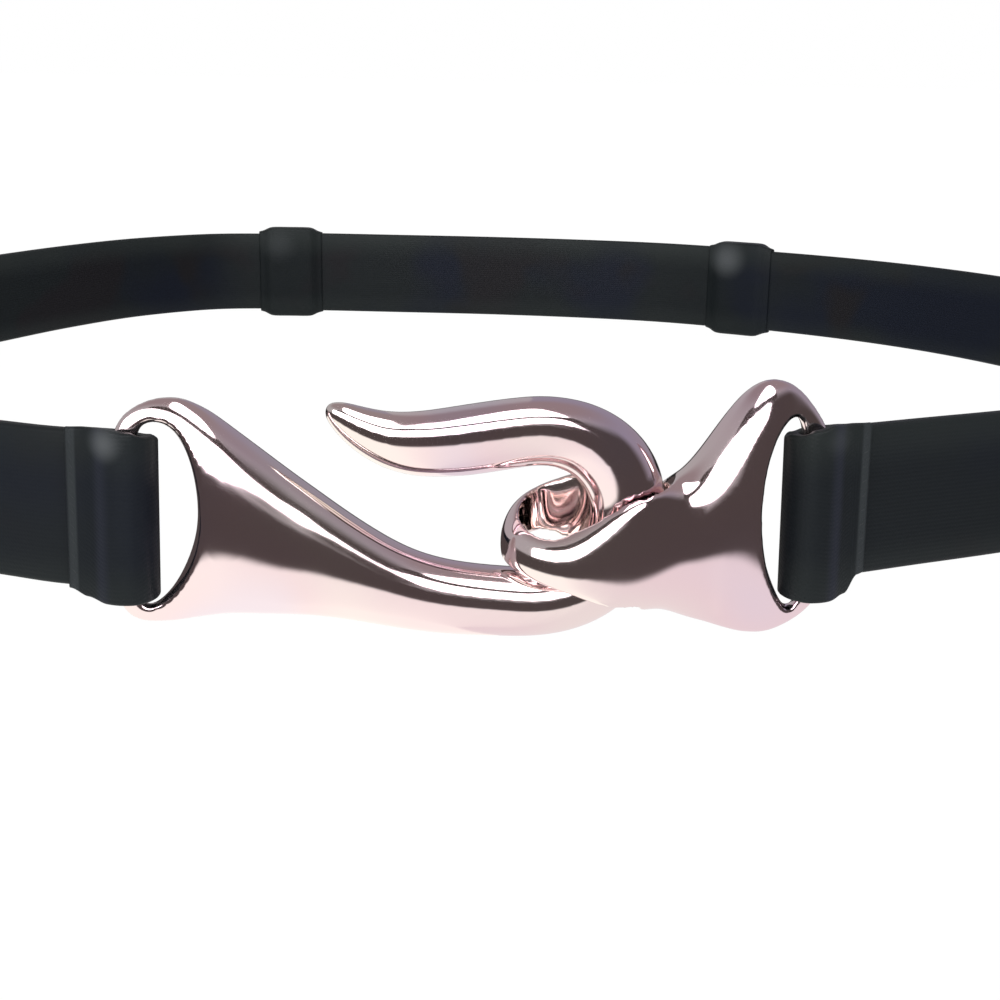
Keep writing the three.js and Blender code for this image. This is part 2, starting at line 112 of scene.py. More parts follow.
class Tree:
    def __init__(self, owner):
        owner.use_nodes = True
        self.nodes = owner.node_tree.nodes
        self.links = owner.node_tree.links
        self.nodes.clear()

    def node(self, kind, settings=None, sockets=None, output=0):
        made = self.nodes.new(kind)
        for name, setting in (settings or {}).items():
            setattr(made, name, setting)
        for name, value in (sockets or {}).items():
            if isinstance(value, Value):
                self.links.new(value.socket, made.inputs[name])
            else:
                made.inputs[name].default_value = value
        if made.outputs:  # the last node of a tree has none
            return Value(self, made.outputs[output])

    def mix(self, mask, first, second):
        return self.node("ShaderNodeMix", {"data_type": "RGBA"}, {0: mask, 6: first, 7: second}, 2)

    def noise(self, vector, scale, detail=2, roughness=0.5):
        sockets = {"Vector": vector, "Scale": scale, "Detail": detail, "Roughness": roughness}
        return self.node("ShaderNodeTexNoise", None, sockets)

    def place(self):
        return self.node("ShaderNodeTexCoord", None, None, "Object")

    def split(self, vector):
        first = self.node("ShaderNodeSeparateXYZ", None, {0: vector})
        outputs = first.socket.node.outputs
        return [Value(self, outputs[index]) for index in range(3)]

    # A whole surface: relief is a bump's strength and its depth in metres
    def surface(self, colour, roughness, height, relief, values):
        strength, depth = relief
        bump = self.node("ShaderNodeBump", None, {"Strength": strength, "Distance": depth, "Height": height})
        sockets = {"Base Color": colour, "Roughness": roughness, "Normal": bump, **values}
        shader = self.node("ShaderNodeBsdfPrincipled", None, sockets)
        self.node("ShaderNodeOutputMaterial", None, {"Surface": shader})


def rgb(red, green, rollHighlight):
    return (red, green, rollHighlight, 1)


# Studio: a pale floor, an even white light, and the soft boxes and dark walls that polished metal mirrors.
# Places are degrees across, from straight behind the camera to its right, and degrees up, low and high.
studio = {
    "floorSize": 4.0, "floorDrop": 0.0002, "floorGlow": 0.985, "floorShade": rgb(0.03, 0.03, 0.03),
    "backdrop": rgb(1, 1, 1), "softBox": rgb(3.2, 3.1, 3.2), "dark": rgb(0.074, 0.062, 0.061),
    "leftWall": rgb(0.42, 0.41, 0.42), "rightWall": rgb(0.30, 0.28, 0.34), "wallsMeet": (20, 90),
    "ceiling": rgb(0.30, 0.25, 0.26), "ceilingFade": (30, 62),
    "cream": rgb(1.09, 1.09, 1.02), "pink": rgb(0.86, 0.80, 0.81),
    "tableBlend": (-20, 36), "tableFade": (-27, -22),
    "boxAcross": (-50, 30), "boxUp": (-8, 30.5), "boxSquare": 8,
    "footUp": 3, "footFrom": 3, "footSlope": 0.45, "footFade": 0.6,
    "topAcross": (-16, 38), "topUp": (38, 82), "topSquare": 6,
    "gapAcross": (-34, 40), "gapUp": (27, 42), "gapSquare": 4,
    "bandFoot": (-28, -22), "bandTop": (0, 6),
    "screenLeft": (12, 22), "screenRight": (62, 90), "screenFoot": (-27, -21), "screenTop": (24, 44),
    "boxFade": (0.88, 1.12),
}


def softBox(across, up, name):
    left, right = studio[name + "Across"]
    low, high = studio[name + "Up"]
    square = studio[name + "Square"]
    fromMiddle = abs(across - (left + right) / 2) / ((right - left) / 2)
    fromCentre = abs(up - (low + high) / 2) / ((high - low) / 2)
    return 1 - (fromMiddle ** square + fromCentre ** square).rise(*studio["boxFade"])


def makeStudio():
    world = bpy.data.worlds.new("studio")
    scene.world = world
    tree = Tree(world)
    x, y, z = tree.split(tree.node("ShaderNodeTexCoord", None, None, "Generated"))
    degrees = 180 / math.pi
    across = x.math("ARCTAN2", y * -1) * degrees
    up = z.math("ARCSINE") * degrees
    foot = (across - studio["footFrom"]).math("MAXIMUM", 0) * studio["footSlope"] + studio["footUp"]
    box = softBox(across, up, "box") * (up - foot).rise(-studio["footFade"], studio["footFade"])
    top = softBox(across, up, "top")
    gap = softBox(across, up, "gap")
    band = up.rise(*studio["bandFoot"]) * (1 - up.rise(*studio["bandTop"]))
    screen = across.rise(*studio["screenLeft"]) * (1 - across.rise(*studio["screenRight"]))
    screen = screen * (1 - up.rise(*studio["screenTop"])) * up.rise(*studio["screenFoot"])
    sides = tree.mix(across.rise(*studio["wallsMeet"]), studio["leftWall"], studio["rightWall"])
    walls = tree.mix(up.rise(*studio["ceilingFade"]), sides, studio["ceiling"])
    seen = tree.mix(band.math("MAXIMUM", screen).math("MAXIMUM", gap), walls, studio["dark"])
    table = tree.mix(across.rise(*studio["tableBlend"]), studio["cream"], studio["pink"])
    seen = tree.mix(1 - up.rise(*studio["tableFade"]), seen, table)
    seen = tree.mix(box.math("MAXIMUM", top), seen, studio["softBox"])
    glossy = tree.node("ShaderNodeLightPath", None, None, "Is Glossy Ray")
    colour = tree.mix(glossy, studio["backdrop"], seen)
    light = tree.node("ShaderNodeBackground", None, {"Color": colour, "Strength": 1.0})
    tree.node("ShaderNodeOutputWorld", None, {"Surface": light})
    world.cycles.sampling_method = "NONE"


def makeFloor():
    material = bpy.data.materials.new("floor")
    tree = Tree(material)
    emission = {"Color": studio["backdrop"], "Strength": studio["floorGlow"]}
    glow = tree.node("ShaderNodeEmission", None, emission)
    matte = tree.node("ShaderNodeBsdfDiffuse", None, {"Color": studio["floorShade"]})
    both = tree.node("ShaderNodeAddShader", None, {0: glow, 1: matte})
    tree.node("ShaderNodeOutputMaterial", None, {"Surface": both})
    bm = bmesh.new()
    bmesh.ops.create_grid(bm, x_segments=1, y_segments=1, size=studio["floorSize"] / 2)
    bmesh.ops.translate(bm, vec=(0, 0, -studio["floorDrop"]), verts=bm.verts)
    floor = finish("floor", bm, material)
    floor.visible_glossy = False


# Meshes: rings of points made into walls
def addRing(bm, points):
    ring = bmesh.ops.create_circle(bm, segments=len(points), radius=mm)["verts"]
    for vert, point in zip(ring, points):
        vert.co = inFrame(point)
    return ring


def edgesOf(ring):
    inside = set(ring)
    found = {edge for vert in ring for edge in vert.link_edges if edge.other_vert(vert) in inside}
    return list(found)


def bridge(bm, first, second):
    bmesh.ops.bridge_loops(bm, edges=edgesOf(first) + edgesOf(second))


def closeEnd(bm, ring):
    bmesh.ops.contextual_create(bm, geom=edgesOf(ring))


# Each face's map holds the millimetres along the piece and round it, where the woven pattern reads them
def addMap(bm, rings, alongs):
    layer = bm.loops.layers.uv.new("weave")
    spots, lengths = {}, []
    for ring, along in zip(rings, alongs):
        around = 0
        for index, vert in enumerate(ring):
            spots[vert] = (along, around, index)
            around += (ring[(index + 1) % len(ring)].co - vert.co).length / mm
        lengths.append(around)
    for ring, length in zip(rings, lengths):
        for face in {face for vert in ring for face in vert.link_faces}:
            wraps = any(spots[vert][2] == len(ring) - 1 for vert in face.verts)
            for loop in face.loops:
                along, around, index = spots[loop.vert]
                loop[layer].uv = (along, length if wraps and index == 0 else around)


def loft(sections, alongs=None, closed=True):
    bm = bmesh.new()
    rings = [addRing(bm, section) for section in sections]
    for first, second in zip(rings, rings[1:]):
        bridge(bm, first, second)
    if closed:
        closeEnd(bm, rings[0])
        closeEnd(bm, rings[-1])
    if alongs:
        addMap(bm, rings, alongs)
    return bm


def finish(name, bm, material, node=None, slot=None):
    bmesh.ops.recalc_face_normals(bm, faces=bm.faces)
    mesh = bpy.data.meshes.new(name)
    bm.to_mesh(mesh)
    bm.free()
    mesh.shade_smooth()
    mesh.materials.append(material)
    piece = bpy.data.objects.new(name, mesh)
    scene.collection.objects.link(piece)
    if slot:
        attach(piece, "root")
    if node:
        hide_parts(node)
    return piece


# A smooth curve through points a few millimetres or more apart, which doesn't swing out between them
def smoothCurve(points, steps):
    ends = [2 * points[0] - points[1], *points, 2 * points[-1] - points[-2]]
    made = []
    for a, b, c, d in zip(ends, ends[1:], ends[2:], ends[3:]):
        knots = [0]
        for p, q in ((a, b), (b, c), (c, d)):
            knots.append(knots[-1] + (q - p).length ** 0.5)
        k0, k1, k2, k3 = knots
        for step in range(steps):
            t = k1 + (k2 - k1) * step / steps
            ab = a.lerp(b, (t - k0) / (k1 - k0))
            bc = b.lerp(c, (t - k1) / (k2 - k1))
            cd = c.lerp(d, (t - k2) / (k3 - k2))
            abc = ab.lerp(bc, (t - k0) / (k2 - k0))
            bcd = bc.lerp(cd, (t - k1) / (k3 - k1))
            made.append(abc.lerp(bcd, (t - k1) / (k2 - k1)))
    made.append(points[-1].copy())
    return made


# A box section with round corners, as pairs across and up, with extra points along its two long sides
def roundedBox(half, bottom, top, radius):
    arcSteps, sideSteps = 4, 8
    corners = ((half - radius, top - radius, 0), (radius - half, top - radius, 90),
               (radius - half, bottom + radius, 180), (half - radius, bottom + radius, 270))
    points = []
    for across, up, start in corners:
        for step in range(arcSteps + 1):
            angle = math.radians(start + 90 * step / arcSteps)
            points.append((across + radius * math.cos(angle), up + radius * math.sin(angle)))
        if start in (90, 270):
            sideAt, last = points[-1]
            goal = bottom + radius if start == 90 else top - radius
            points += [(sideAt, last + (goal - last) * step / sideSteps) for step in range(1, sideSteps)]
    return points


# Metal: polished plating with a pale rose tint that shifts a little towards cream and lilac
plating = {
    "rose": rgb(0.93, 0.755, 0.785), "cream": rgb(0.965, 0.865, 0.83), "lilac": rgb(0.86, 0.755, 0.85),
    "tintScale": 38, "creamFrom": (0.42, 0.62), "lilacTo": (0.34, 0.46), "lilacShare": 0.8, "detail": 1,
    "roughness": 0.055, "smudge": 0.05, "smudgeScale": 240, "smudgeDetail": 4, "smudgeGrain": 0.6,
    "waveScale": 150, "relief": (0.5, 0.00003),
}


def makePlating():
    material = bpy.data.materials.new("rosePlating")
    tree = Tree(material)
    spot = tree.place()
    drift = tree.noise(spot, plating["tintScale"], plating["detail"])
    colour = tree.mix(drift.rise(*plating["creamFrom"]), plating["rose"], plating["cream"])
    lilac = (1 - drift.rise(*plating["lilacTo"])) * plating["lilacShare"]
    colour = tree.mix(lilac, colour, plating["lilac"])
    smudge = tree.noise(spot, plating["smudgeScale"], plating["smudgeDetail"], plating["smudgeGrain"])
    waves = tree.noise(spot, plating["waveScale"], plating["detail"])
    roughness = plating["roughness"] + smudge * plating["smudge"]
    tree.surface(colour, roughness, waves, plating["relief"], {"Metallic": 1.0})
    return material


# Elastic: near-black fine cords with a satiny face, navy and green in blotches, paler in front, and painted
# paler as highlights along its edges, on the tops of its cords and in a few spots.
# A From or To pair is where a mask begins and ends, and a Share is how much of a tone or a relief is used.
elastic = {
    "navy": rgb(0.0042, 0.0064, 0.0140), "green": rgb(0.0060, 0.0085, 0.0098), "greenFrom": (0.4, 0.56),
    "brown": rgb(0.0075, 0.0070, 0.0088), "brownFrom": (0.5, 0.62), "cloudScale": 26, "brownScale": 41,
    "front": rgb(0.0125, 0.0155, 0.0200), "frontTo": (-0.12, -0.07), "frontShare": 0.5,
    # edge: the paler colour painted on the strap's edges and on the tops of its cords as highlights
    "edge": rgb(0.0190, 0.0235, 0.0235), "patchyFrom": (0.34, 0.6), "patchyShare": 0.5,
    "floor": 0.0048, "height": 0.0199,  # the strap's lower edge and its width, in metres
    "topFrom": (0.66, 1.0), "lowTo": (0.02, 0.26), "lowShare": 0.5,
    "cord": 0.55, "cordShare": 0.5, "cordBend": 0.12, "pick": 0.5, "pickShare": 0.45,
    "yarnScale": 2600, "yarnShare": 0.5, "raisedFrom": (-0.7, 0.9), "raisedShare": 0.1,
    # The first colour here is painted onto spots as a highlight
    "paintedHighlight": rgb(0.10, 0.108, 0.115), "dulling": 0.08, "relief": (0.6, 0.000014),
}

# The seam of a fold, in millimetres in from its ends, painted as a paler band where its ridge and thread
# catch the light, and the bluish band beside it, a painted highlight where the roll turns to the light
seam = {
    "tone": rgb(0.038, 0.044, 0.048), "at": 0.7, "fade": (0.32, 0.8), "share": 0.8,
    "stitch": 1.9, "stitchFrom": (-0.2, 0.3), "threadFade": (0.15, 0.35), "lift": 5,
    "rollHighlight": rgb(0.020, 0.023, 0.035), "rollHighlightHalf": 1.5, "rollHighlightShare": 0.75,
}


# Painted highlight spots: paler spots that stand for light, each as place, reach and strength
# seamed: a fold's length, and how far in from its ends the bluish painted highlight lies
def makeElastic(name, roughness, shine, highlightSpots=(), seamed=None):
    material = bpy.data.materials.new(name)
    tree = Tree(material)
    spot = tree.place()
    along, around, _ = tree.split(tree.node("ShaderNodeUVMap", {"uv_map": "weave"}))
    _, back, up = tree.split(spot)
    clouds = tree.noise(spot, elastic["cloudScale"])
    brown = tree.noise(spot, elastic["brownScale"]).rise(*elastic["brownFrom"])
    colour = tree.mix(clouds.rise(*elastic["greenFrom"]), elastic["navy"], elastic["green"])
    colour = tree.mix(brown, colour, elastic["brown"])
    # Painted highlight: the strap's top edge painted paler in the edge colour, and its bottom edge at half
    # strength, as where they catch the light
    lift = (up - math.sin(stand["tilt"]) * back - elastic["floor"]) / elastic["height"]
    edgeHighlight = lift.rise(*elastic["topFrom"]) + (1 - lift.rise(*elastic["lowTo"])) * elastic["lowShare"]
    front = (1 - back.rise(*elastic["frontTo"])) * elastic["frontShare"]
    patchy = clouds.rise(*elastic["patchyFrom"]) * elastic["patchyShare"] + (1 - elastic["patchyShare"])
    colour = tree.mix(front, colour, elastic["front"])
    colour = tree.mix(edgeHighlight * patchy, colour, elastic["edge"])
    cords = around.wave(elastic["cord"])
    picks = (along + cords * elastic["cordBend"]).wave(elastic["pick"]) * elastic["pickShare"]
    yarn = tree.noise(spot, elastic["yarnScale"])
    height = cords * elastic["cordShare"] + picks * abs(cords) + yarn * elastic["yarnShare"]
    # Painted highlight: the high points of the weave painted a little paler, in the edge colour
    cordHighlight = height.rise(*elastic["raisedFrom"]) * elastic["raisedShare"]
    colour = tree.mix(cordHighlight, colour, elastic["edge"])
    if seamed:
        length, rollHighlightAt = seamed
        inward = along.math("MINIMUM", length - along)
        fromSeam = abs(inward - seam["at"])
        # A painted highlight: a bluish band where the roll turns to the light
        rollHighlight = 1 - abs(inward - rollHighlightAt).rise(0, seam["rollHighlightHalf"])
        # A painted highlight along the seam: a paler band where its ridge and thread catch the light
        band = 1 - fromSeam.rise(*seam["fade"])
        thread = 1 - fromSeam.rise(*seam["threadFade"])
        stitches = around.wave(seam["stitch"]).rise(*seam["stitchFrom"]) * thread
        colour = tree.mix(rollHighlight * seam["rollHighlightShare"], colour, seam["rollHighlight"])
        colour = tree.mix(band * seam["share"], colour, seam["tone"])
        height = height + stitches * seam["lift"]
    # Painted highlights: paler spots that stand for light falling on a sleeve or a fold
    for place, reach, strength in highlightSpots:
        away = tree.node("ShaderNodeVectorMath", {"operation": "DISTANCE"}, {0: spot, 1: place}, 1)
        colour = tree.mix((1 - away.rise(0, reach)) * strength, colour, elastic["paintedHighlight"])
    dulled = roughness + clouds * elastic["dulling"]
    tree.surface(colour, dulled, height, elastic["relief"], {"Specular IOR Level": shine})
    return material


# Buckle. x runs along the belt and z up, in the upright plane that the buckle hangs in.
buckle = {"planeY": -113.4, "slope": 0.1067, "sides": 20, "rounding": 2, "voxel": 0.235,
          "polish": 0.5, "smoothing": 36}
towardFront = Vector((buckle["slope"], -1, 0)).normalized()

# The hook's rows, from its bar to its tip: x, z, half height, half depth, lean, squareness, shear
hookRows = (
    (-47.2, 8.8, 9.0, 0.5, 0, 4, 0), (-46.8, 8.9, 11.2, 1, 0, 3.4, 0), (-45.7, 9.1, 13.0, 1.2, 0, 3, 0),
    (-44.0, 9.4, 14.0, 1.25, 0, 2.8, 0), (-42.4, 9.7, 14.35, 1.85, 0, 2.6, 0),
    (-41.0, 9.9, 14.45, 2.4, 0, 2.4, 0), (-39.6, 10.0, 14.45, 2.9, 0, 2.3, 0),
    (-38.2, 10.0, 14.2, 3.4, 0, 2.2, 0), (-36.8, 9.8, 13.75, 3.9, 0, 2.2, 0),
    (-35.4, 9.5, 13.25, 4.3, 0, 2.3, 0), (-34.0, 9.1, 12.6, 4.5, 0, 2.3, 0),
    (-31.8, 8.1, 11.6, 4.6, 0.05, 2.3, 0), (-29.4, 6.9, 10.5, 4.6, 0.15, 2.3, 0),
    (-26.8, 5.6, 9.3, 4.6, 0.3, 2.3, 0), (-24.0, 4.3, 8.2, 4.6, 0.5, 2.3, 0.02),
    (-21.2, 3.0, 7.2, 4.5, 0.7, 2.3, 0.04), (-18.2, 1.7, 6.4, 4.45, 0.9, 2.2, 0.06),
    (-15.2, 0.5, 5.8, 4.35, 1, 2.1, 0.08), (-12.0, -0.6, 5.4, 4.2, 1, 2, 0.1),
    (-8.4, -1.5, 5.1, 4.2, 1, 2, 0.1), (-4.4, -2.1, 4.9, 4.2, 1, 2, 0.1),
    (0.2, -2.45, 4.7, 4.2, 1, 2, 0.08), (3.6, -2.65, 4.65, 4.2, 1, 2, 0.05),
    (7.0, -2.3, 4.7, 4.2, 1, 2, 0.03), (10.3, -1.2, 4.75, 4.2, 1, 2, 0), (13.3, 0.8, 4.78, 4.2, 1, 2, 0),
    (15.4, 4.2, 4.83, 4.2, 1, 2, 0), (16.2, 8.2, 4.87, 4.2, 1, 2, 0), (16.1, 11.4, 4.95, 4.2, 1, 2, 0),
    (15.0, 14.4, 5.0, 4.2, 1, 2, 0.03), (12.9, 17.0, 4.9, 4.2, 1, 2, 0.07),
    (9.7, 19.0, 4.7, 4.2, 1, 2, 0.12), (5.7, 19.8, 4.5, 4.2, 1, 2.3, 0.16),
    (2.3, 19.5, 4.55, 4.2, 1, 2.3, 0.18), (-1.4, 18.95, 4.6, 4.2, 1, 2.3, 0.18),
    (-5.1, 18.4, 4.6, 4.1, 1, 2.3, 0.18), (-8.7, 18.1, 4.35, 3.9, 1, 2.3, 0.18),
    (-11.6, 18.2, 4.1, 3.6, 1, 2.3, 0.18), (-14.2, 18.8, 3.65, 3.2, 1, 2, 0.18),
    (-16.5, 19.8, 3.05, 2.7, 1, 2, 0.18), (-18.4, 20.9, 2.45, 2.2, 1, 2, 0.18),
    (-20.0, 22.0, 1.8, 1.6, 1, 2, 0.18), (-21.0, 22.6, 1.1, 1, 1, 2, 0.18),
    (-21.4, 22.8, 0.5, 0.5, 1, 2, 0.18),
)
hookSlot = (
    (-44.3, 9.5), (-44.1, 16.6), (-43.9, 20.0), (-42.8, 21.1), (-41.1, 21.2), (-39.7, 20.4), (-38.5, 18.6),
    (-37.4, 15.2), (-36.9, 10.5), (-37.3, 6.8), (-38.5, 3.4), (-40.1, 0.4), (-41.8, -1.5), (-43.2, -2.3),
    (-44.3, -1.8), (-44.5, 0.9),
)

# The eye's rows, from the left end of its ring to its bar: x, z, half depth, half height, shear, squareness
eyeRows = (
    (0.1, 5.0, 0.6, 1.2, 0.45, 2), (0.5, 5.3, 1.8, 2.2, 0.45, 2.2), (1.4, 5.8, 3.4, 2.9, 0.45, 2.4),
    (3.0, 6.1, 5.0, 3.4, 0.45, 2.7), (5.5, 6.2, 6.4, 4.1, 0.45, 2.8), (8.5, 6.2, 7.1, 5.0, 0.44, 2.8),
    (12.0, 6.0, 7, 7.0, 0.34, 3.3), (15.0, 5.6, 6.7, 8.4, 0.14, 4), (18.0, 5.2, 6.1, 9.0, -0.14, 3.9),
    (20.5, 4.8, 5.5, 8.6, -0.22, 3.1), (22.5, 4.9, 5.2, 9.4, -0.18, 2.3), (24.5, 5.6, 4.9, 10.9, -0.08, 2.1),
    (26.4, 6.8, 4.8, 12.6, -0.02, 2), (28.2, 7.8, 4.8, 14.3, 0.02, 2), (30.0, 8.7, 4.6, 15.8, 0, 2),
    (31.5, 9.1, 4.3, 16.6, 0, 2.1), (33.0, 9.4, 3.9, 17.0, 0, 2.2), (34.6, 9.4, 3.4, 17.0, 0, 2.3),
    (36.2, 9.4, 2.6, 16.5, 0, 2.4), (37.8, 9.2, 1.8, 15.5, 0, 2.6), (39.3, 8.8, 1.4, 14.1, 0, 2.8),
    (40.6, 8.5, 1.3, 12.5, 0, 3), (41.5, 8.4, 1.1, 10.7, 0, 3.4), (42.0, 8.4, 0.5, 8.8, 0, 4),
)
eyeSlot = (
    (38.5, 9.0), (38.7, 1.0), (38.6, -2.6), (37.8, -4.0), (36.9, -3.7), (35.9, -2.0), (34.7, 0.6),
    (33.8, 3.4), (33.1, 7.0), (32.9, 10.5), (33.2, 14.4), (34.0, 17.7), (35.2, 20.2), (36.5, 21.6),
    (37.5, 21.3), (38.2, 18.8),
)
eyeHole = {
    "start": 2.5, "end": 21.4, "half": 5.0, "middle": 6.6, "shear": 0.42, "flare": 0.012, "most": 0.35,
    "heelStart": -4.5, "heelSlope": 0.84, "sides": 28, "heights": (-14, -10, -7, -4.5, -2, 0, 2, 4, 6, 14),
}
slotCut = {"flare": 0.1, "most": 0.5, "depths": (-6, -3.4, -2.2, -1.1, 0, 1.1, 2.2, 3.4, 6)}


def onBuckle(x, z, forward):
    return Vector((x, buckle["planeY"] + buckle["slope"] * x, z)) + towardFront * forward


def roundedPoint(angle, power):
    c, s = math.cos(angle), math.sin(angle)
    return math.copysign(abs(c) ** (2 / power), c), math.copysign(abs(s) ** (2 / power), s)


def turns(count):
    return [2 * math.pi * index / count for index in range(count)]


def hookSections():
    sections = []
    for index, (x, z, half, depth, lean, square, shear) in enumerate(hookRows):
        before = hookRows[max(index - 1, 0)]
        after = hookRows[min(index + 1, len(hookRows) - 1)]
        turn = lean * math.atan2(after[1] - before[1], after[0] - before[0])
        section = []
        for angle in turns(buckle["sides"]):
            across, up = roundedPoint(angle, square)
            lift = math.cos(turn) * half * up
            section.append(onBuckle(x - math.sin(turn) * half * up, z + lift, depth * across + shear * lift))
        sections.append(section)
    return sections


def eyeSections():
    sections = []
    for x, z, depth, half, shear, square in eyeRows:
        section = []
        for angle in turns(buckle["sides"]):
            across, up = roundedPoint(angle, square)
            forward = depth * across
            section.append(onBuckle(x, z + half * up - shear * forward, forward))
        sections.append(section)
    return sections


# A slot's cutter widens towards both faces, so that the metal round it is rounded like a wire
def slotSections(outline):
    corners = [Vector((x, z, 0)) for x, z in outline]
    count = len(corners)
    middle = sum(corners, Vector()) / count
    sections = []
    for forward in slotCut["depths"]:
        section = []
        widening = min(slotCut["flare"] * forward ** 2, slotCut["most"])
        for index, corner in enumerate(corners):
            run = corners[(index + 1) % count] - corners[index - 1]
            side = Vector((run.y, -run.x, 0)).normalized()
            side = side if side.dot(corner - middle) > 0 else -side
            wide = corner + side * widening
            section.append(onBuckle(wide.x, wide.y, forward))
        sections.append(section)
    return sections


def holeSections():
    sections = []
    for height in eyeHole["heights"]:
        section = []
        far = eyeHole["end"] - eyeHole["heelSlope"] * max(eyeHole["heelStart"] - height, 0) - eyeHole["half"]
        radius = eyeHole["half"] + min(eyeHole["flare"] * height ** 2, eyeHole["most"])
        for angle in turns(eyeHole["sides"]):
            centre = far if math.cos(angle) > 0 else eyeHole["start"] + eyeHole["half"]
            forward = radius * math.sin(angle)
            upward = eyeHole["middle"] + height - eyeHole["shear"] * forward
            section.append(onBuckle(centre + radius * math.cos(angle), upward, forward))
        sections.append(section)
    return sections


def rounded(name, sections, material):
    form = finish(name, loft(sections), material)
    rounding = form.modifiers.new("rounding", "SUBSURF")
    rounding.levels = rounding.render_levels = buckle["rounding"]
    return form


# A casting: a smooth body with smooth holes cut through it, melted together and polished
def cast(name, sections, cutters, material, node):
    body = rounded(name + "Body", sections, material)
    tools = [rounded(f"{name}Cutter{index}", cutter, material) for index, cutter in enumerate(cutters)]
    for tool in tools:
        cut = body.modifiers.new("cut", "BOOLEAN")
        cut.object = tool
        cut.operation = "DIFFERENCE"
        cut.solver = "EXACT"
    melt = body.modifiers.new("melt", "REMESH")
    melt.mode = "VOXEL"
    melt.voxel_size = buckle["voxel"] * mm
    polish = body.modifiers.new("polish", "SMOOTH")
    polish.factor = buckle["polish"]
    polish.iterations = buckle["smoothing"]
    bpy.context.view_layer.update()
    solid = bpy.data.meshes.new_from_object(body.evaluated_get(bpy.context.evaluated_depsgraph_get()))
    bm = bmesh.new()
    bm.from_mesh(solid)
    for used in (body, *tools):
        bpy.data.objects.remove(used)
    piece = finish(name, bm, material, node, "buckle_metal")
    print(name, "cast", len(piece.data.polygons), "faces")


# Strap. The route is its middle line from above, from the hook's fold round the back to the eye's.
strap = {"thickness": 1.8, "edge": 0.55, "side": (0, 19.9), "back": (-0.3, 20.2), "step": 2.0, "joint": 0.15,
         "smoothSteps": 24}
strapRoute = (
    (-49.0, -117.33), (-52.4, -116.77), (-55.8, -115.9), (-62.6, -113.3), (-85, -105), (-108, -91),
    (-126, -68), (-135, -40), (-136, -5), (-128, 28), (-116.1, 57.8), (-106.5, 78.5), (-94.6, 97.1),
    (-80.3, 110), (-72.3, 113.6), (-56, 115.4), (-28.3, 114.8), (-1.8, 113.5), (24.3, 109.8),
    (41.3, 105.4), (59, 97.2),
    (72.9, 89.1), (87.1, 78.5), (99.9, 65.8), (111, 50.6), (122, 29), (129.5, 5), (131.5, -20), (127, -44),
    (115, -65), (98, -80.5), (82, -89.5), (67, -97.1), (54.7, -102.8), (50, -105.05), (46.4, -106.75),
    (43.2, -108.0),
)
sleeve = {
    "length": 16.6, "lip": 0.22, "rise": 0.88, "gap": 0.3, "endGap": 0.04, "corner": 0.8, "innerCorner": 0.5,
    "left": (-56.6, 115.4), "right": (60, 96.6), "smoothSteps": 3,
    "sheenBack": 3, "sheenSpot": (1.8, 17.5), "sheenReach": 0.006, "leftSheen": 0.22, "rightSheen": 0.75,
}
sleeveSwell = ((-0.5, 0), (-0.43, 0.26), (-0.37, 0.64), (-0.31, 0.92), (-0.24, 1), (0, 1), (0.24, 1),
               (0.31, 0.92), (0.37, 0.64), (0.43, 0.26), (0.5, 0))
routeLine = smoothCurve([Vector((x, y, 0)) for x, y in strapRoute], strap["smoothSteps"])
routeMarks = [0.0]
for first, second in zip(routeLine, routeLine[1:]):
    routeMarks.append(routeMarks[-1] + (second - first).length)


def onRoute(distance):
    distance = min(max(distance, 0), routeMarks[-1])
    index = next((i for i, mark in enumerate(routeMarks[1:], 1) if mark >= distance), len(routeMarks) - 1)
    share = (distance - routeMarks[index - 1]) / (routeMarks[index] - routeMarks[index - 1])
    before = routeLine[max(index - 2, 0)]
    after = routeLine[min(index + 1, len(routeLine) - 1)]
    return routeLine[index - 1].lerp(routeLine[index], share), (after - before).normalized()


def nearRoute(spot):
    target = Vector((*spot, 0))
    return min(zip(routeLine, routeMarks), key=lambda pair: (pair[0] - target).length)[1]


def acrossRoute(distance, profile):
    point, along = onRoute(distance)
    side = Vector((along.y, -along.x, 0))
    return [point + side * across + Vector((0, 0, up)) for across, up in profile]


def pieceName(node):
    kind, side = node.split("_")
    return side + kind.capitalize()


def makeStrap(name, start, end, heights, material):
    steps = round((end - start) / strap["step"])
    marks = [start + (end - start) * step / steps for step in range(steps + 1)]
    profile = roundedBox(strap["thickness"] / 2, *heights, strap["edge"])
    bm = loft([acrossRoute(mark, profile) for mark in marks], marks)
    finish(pieceName(name), bm, material, name, "elastic")


def makeSleeve(name, middle, material):
    bottom, top = strap["back"]
    bulge = [Vector((along, swell, 0)) for along, swell in sleeveSwell]
    swells = smoothCurve(bulge, sleeve["smoothSteps"])
    outer, inner, marks = [], [], []
    for swell in swells:
        wall = sleeve["lip"] + sleeve["rise"] * swell.y
        mark = middle + swell.x * sleeve["length"]
        gap = sleeve["endGap"] + (sleeve["gap"] - sleeve["endGap"]) * swell.y
        half = strap["thickness"] / 2 + gap
        low, high = bottom - gap - wall, top + gap + wall
        outer.append(acrossRoute(mark, roundedBox(half + wall, low, high, sleeve["corner"])))
        inner.append(acrossRoute(mark, roundedBox(half, bottom - gap, top + gap, sleeve["innerCorner"])))
        marks.append(mark)
    bm = loft([*outer, *reversed(inner)], [*marks, *reversed(marks)], closed=False)
    bm.verts.ensure_lookup_table()
    size = len(outer[0])
    bridge(bm, bm.verts[:size], bm.verts[-size:])
    finish(pieceName(name), bm, material, name, "binding")


# The painted highlight on the side of a sleeve that faces the buckle: a paler spot, as place, reach and
# strength
def sleeveSheen(middle, strength):
    spot = acrossRoute(middle - sleeve["sheenBack"], [sleeve["sheenSpot"]])[0]
    return inFrame(spot), sleeve["sheenReach"], strength


